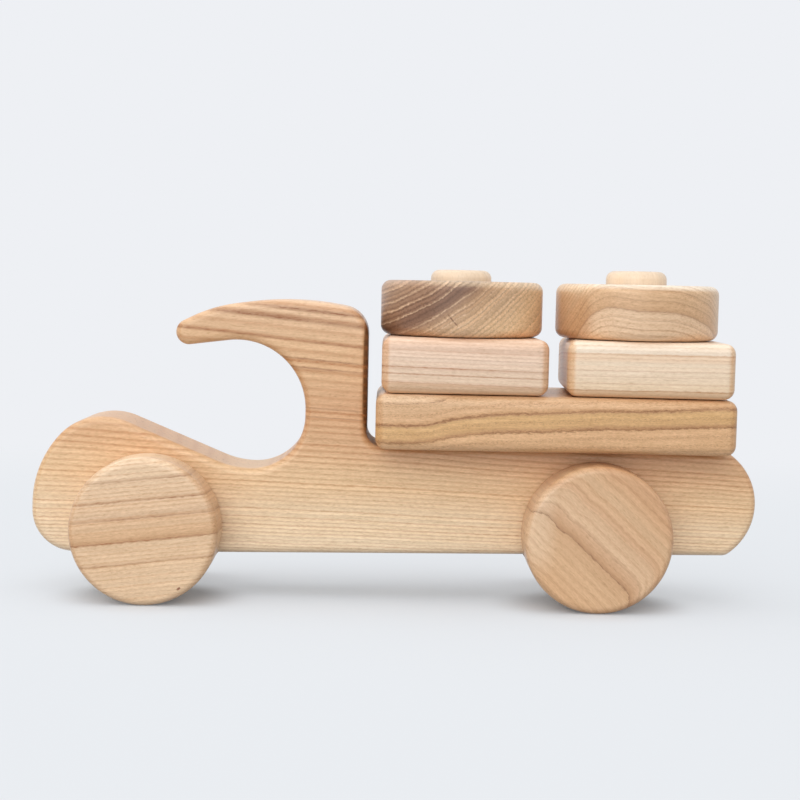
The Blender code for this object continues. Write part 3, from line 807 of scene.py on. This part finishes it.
tan_elm = make_wood(
    "tan arched disc",
    tones=((-0.03, linear(232, 196, 158)), (-0.0065, linear(236, 202, 166)), (-0.0055, linear(222, 180, 138)),
           (0.0, linear(230, 190, 148)), (0.012, linear(240, 208, 170))),
    late=linear(184, 132, 88),
    centre=(0.0990, 0.0, 0.1198), fibre=ALONG, outward=(0, 0.3, 1), heart=0.5,
    ring_width=0.0021, waviness=0.0010, wave_length=0.05, raggedness=0.0009,
    rings=((-0.03, 0.3), (0.02, 0.45)),
    bend=((-0.0340, -0.0190), (-0.0265, -0.0085), (-0.0253, -0.0058), (-0.0230, -0.0024), (-0.0180, 0.0),
          (-0.0118, -0.0004), (-0.0045, -0.0019), (0.0116, -0.0020), (0.0207, -0.0035), (0.0270, -0.0054),
          (0.0340, -0.0100)),
    lines=((-0.0130, 0.0004, 0.4, 0.0), (-0.0095, 0.0004, 0.55, 0.0), (-0.0061, 0.0005, 1.0, 0.0014),
           (-0.0019, 0.0004, 0.7, 0.0), (0.0023, 0.0004, 0.6, 0.0)),
    line_colour=linear(138, 86, 50),
    fibre_strength=0.14, soak=0.0,
    marks_and_painted_light=(((0.068, -0.010, 0.1165), (0.011, 0.03, 0.013), 0, linear(186, 134, 90), 0.5, 0.35),
           # This mark is a painted highlight: a pale band along the disc's top round, where the overhead light
           # falls
           ((0.106, 0.0, 0.1320), (0.040, 0.05, 0.0036), 0, linear(252, 236, 214), 0.85, 0.3)))

finish_piece(make_board(), body_ash, "chassis", "chassis_body")
for end, woods, slot in (("front", (front_wheel_ash, front_wheel_far_ash), "wheel_ash"),
                         ("rear", (rear_wheel_ash, rear_wheel_far_ash), "rear_wheel_ash")):
    for side, place, wood in ((-1, "near", woods[0]), (1, "far", woods[1])):
        finish_piece(make_wheel(end, side), wood, f"{end}_wheels", f"{end}_wheel_{place}")
    finish_piece(make_peg(end), birch_dowel, "chassis", f"{end}_peg")
    for material_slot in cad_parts[f"{end}_axle"].material_slots:
        material_slot.material = axle_dowel
finish_piece(make_block("long_block_wood", LONG_LENGTH, LONG_OFFSET, LONG_SEAT, list(PEG_X.values())),
             golden_elm, "long_block", "long_block")
for end, wood, slot in (("front", pink_beige, "pink_block"), ("rear", cream_ash, "cream_block")):
    square = make_block(f"{end}_square_wood", SQUARE_LENGTH, SQUARE_OFFSET[end], SQUARE_SEAT, [PEG_X[end]],
                        turn=SQUARE_TURN[end])
    finish_piece(square, wood, f"{end}_square", f"{end}_square_block")
for end, wood, slot in (("front", brown_heartwood, "brown_disc"), ("rear", tan_elm, "tan_disc")):
    finish_piece(make_disc(end), wood, f"{end}_disc", f"{end}_disc")


# The paper: its colour for the camera and for the light that it throws back, and the glow that it fades into
PAPER_SEEN = linear(222, 226, 231)
PAPER_LIT = linear(166, 168, 172)
GLOW_NEAR = linear(234, 237, 241)
BACKDROP = linear(238, 240, 244)
SWEEP_SIZE = 12
SWEEP_HEIGHT = 6
SWEEP_ROUND = 3.0
SWEEP_SEGMENTS = 12
AT_THE_EDGE = 0.1

# How much of the glow shows, by the distance from under the truck, of which little counts along the truck;
# near the truck this glow is painted light that lightens the truck's own shadow on the paper
CLEAR_ALONG = 0.3
CLEARING = ((0.0, 0.33), (0.012, 0.35), (0.025, 0.48), (0.037, 0.58), (0.052, 0.69), (0.070, 0.78),
            (0.10, 0.82), (0.20, 0.88), (0.50, 1.0))

# The round painted shade where a wheel stands, which holds back the glow so that more of the real shadow
# shows: its middle, its reach, and how much of the glow it lets through
WHEEL_SHADE_Y = -0.020
WHEEL_SHADE_REACH = (0.045, 0.035, 1.0)
WHEEL_SHADE = ((0.0, 0.05), (0.5, 0.2), (1.0, 1.0))


def seen_rays(bench):
    """1 for what the camera sees, also in gloss or through glass, and 0 for light that falls on things."""
    rays = bench.tree.nodes.new("ShaderNodeLightPath").outputs
    seen = bench.math("ADD", rays["Is Camera Ray"], rays["Is Glossy Ray"])
    return bench.math("ADD", seen, rays["Is Transmission Ray"], clamp=True)


def make_sweep():
    """A pale paper floor that curves up far behind the truck."""
    bpy.ops.mesh.primitive_plane_add(size=SWEEP_SIZE, location=(0, 0, 0))
    sweep = start_piece("studio_sweep")

    def at_back(edge):
        return min(vert.co.y for vert in edge.verts) > SWEEP_SIZE / 2 - AT_THE_EDGE

    pick_edges(at_back)
    bpy.ops.mesh.extrude_region_move(TRANSFORM_OT_translate={"value": (0, 0, SWEEP_HEIGHT)})
    pick_edges(lambda edge: at_back(edge) and max(vert.co.z for vert in edge.verts) < AT_THE_EDGE)
    round_over(SWEEP_ROUND, segments=SWEEP_SEGMENTS)
    bpy.ops.object.mode_set(mode="OBJECT")
    bpy.ops.object.shade_smooth()
    paper = bpy.data.materials.new("studio paper")
    paper.use_nodes = True
    tree = paper.node_tree
    bench = Bench(tree)
    shader = tree.nodes["Principled BSDF"]
    seen = seen_rays(bench)
    bench.join(bench.blend(seen, PAPER_LIT, PAPER_SEEN), shader.inputs["Base Color"])
    shader.inputs["Roughness"].default_value = 0.9
    shader.inputs["Specular IOR Level"].default_value = 0.2
    # Away from the truck, the camera and gloss see the paper in its own pale colour, whatever the light;
    # nearer, a share of that glow is painted light over the truck's shadow, held back round each wheel as
    # painted shade
    where = tree.nodes.new("ShaderNodeTexCoord").outputs["Object"]
    away = bench.vector("LENGTH", bench.vector("MULTIPLY", where, (CLEAR_ALONG, 1.0, 1.0)))
    clear = bench.ramp(away, CLEARING, "LINEAR")
    for x in AXLE_X.values():
        spot = bench.set_at(where, (x, WHEEL_SHADE_Y, 0.0), (0, 0, 0), WHEEL_SHADE_REACH)
        shade = bench.ramp(bench.vector("LENGTH", spot), WHEEL_SHADE)
        clear = bench.math("MULTIPLY", clear, shade)
    glow = tree.nodes.new("ShaderNodeEmission")
    bench.join(bench.ramp(away, [(0.20, GLOW_NEAR), (0.60, BACKDROP)]), glow.inputs["Color"])
    glow.inputs["Strength"].default_value = 1
    mixed = tree.nodes.new("ShaderNodeMixShader")
    bench.join(bench.math("MULTIPLY", clear, seen), mixed.inputs[0])
    bench.join(shader.outputs[0], mixed.inputs[1])
    bench.join(glow.outputs[0], mixed.inputs[2])
    bench.join(mixed.outputs[0], tree.nodes["Material Output"].inputs["Surface"])
    sweep.data.materials.append(paper)


def make_light(name, place, aim, size, power, colour):
    lamp = bpy.data.lights.new(name, "AREA")
    lamp.size = size
    lamp.energy = power
    lamp.color = colour
    holder = bpy.data.objects.new(name, lamp)
    holder.location = place
    holder.rotation_euler = (Vector(aim) - Vector(place)).to_track_quat("-Z", "Y").to_euler()
    bpy.context.scene.collection.objects.link(holder)


# The camera: its lens in millimetres, its place, and its turn, dip and roll in degrees
LENS = 67.1
SENSOR_WIDTH = 36
CAMERA_PLACE = (-0.00487, -0.620, 0.1282)
CAMERA_TURN = -0.59
CAMERA_DIP = 4.34
CAMERA_ROLL = 1.22


def make_camera():
    """The photograph's view: nearly level, a little to the nose's side, and slightly rolled."""
    lens = bpy.data.cameras.new("photo camera")
    lens.lens = LENS
    lens.sensor_width = SENSOR_WIDTH
    camera = bpy.data.objects.new("photo camera", lens)
    camera.location = CAMERA_PLACE
    camera.rotation_euler = (Matrix.Rotation(math.radians(CAMERA_TURN), 3, "Z")
                             @ Matrix.Rotation(math.radians(90 - CAMERA_DIP), 3, "X")
                             @ Matrix.Rotation(math.radians(CAMERA_ROLL), 3, "Z")).to_euler()
    bpy.context.scene.collection.objects.link(camera)
    bpy.context.scene.camera = camera


# The sky: a pale blue light from all round
AMBIENT_COLOUR = (0.95, 0.975, 1.0, 1)
AMBIENT_STRENGTH = 0.70


def make_world():
    """Even pale light from all round; where no paper is in view, the camera sees the backdrop's colour."""
    world = bpy.data.worlds.new("studio")
    world.use_nodes = True
    bench = Bench(world.node_tree)
    ambient = world.node_tree.nodes["Background"]
    ambient.inputs["Color"].default_value = AMBIENT_COLOUR
    ambient.inputs["Strength"].default_value = AMBIENT_STRENGTH
    backdrop = world.node_tree.nodes.new("ShaderNodeBackground")
    backdrop.inputs["Color"].default_value = (*BACKDROP, 1)
    mixed = world.node_tree.nodes.new("ShaderNodeMixShader")
    bench.join(seen_rays(bench), mixed.inputs[0])
    bench.join(ambient.outputs[0], mixed.inputs[1])
    bench.join(backdrop.outputs[0], mixed.inputs[2])
    bench.join(mixed.outputs[0], world.node_tree.nodes["World Output"].inputs["Surface"])
    bpy.context.scene.world = world


make_sweep()
make_camera()
make_light("overhead softbox", place=(-0.45, 0.25, 1.75), aim=(0, 0.1, 0), size=2.8, power=18,
           colour=(1.0, 0.99, 0.975))
make_light("window light", place=(-0.5, -1.7, 0.9), aim=(0, 0, 0.06), size=1.8, power=18,
           colour=(1.0, 0.985, 0.96))
make_world()
bpy.context.scene.view_settings.view_transform = "Standard"
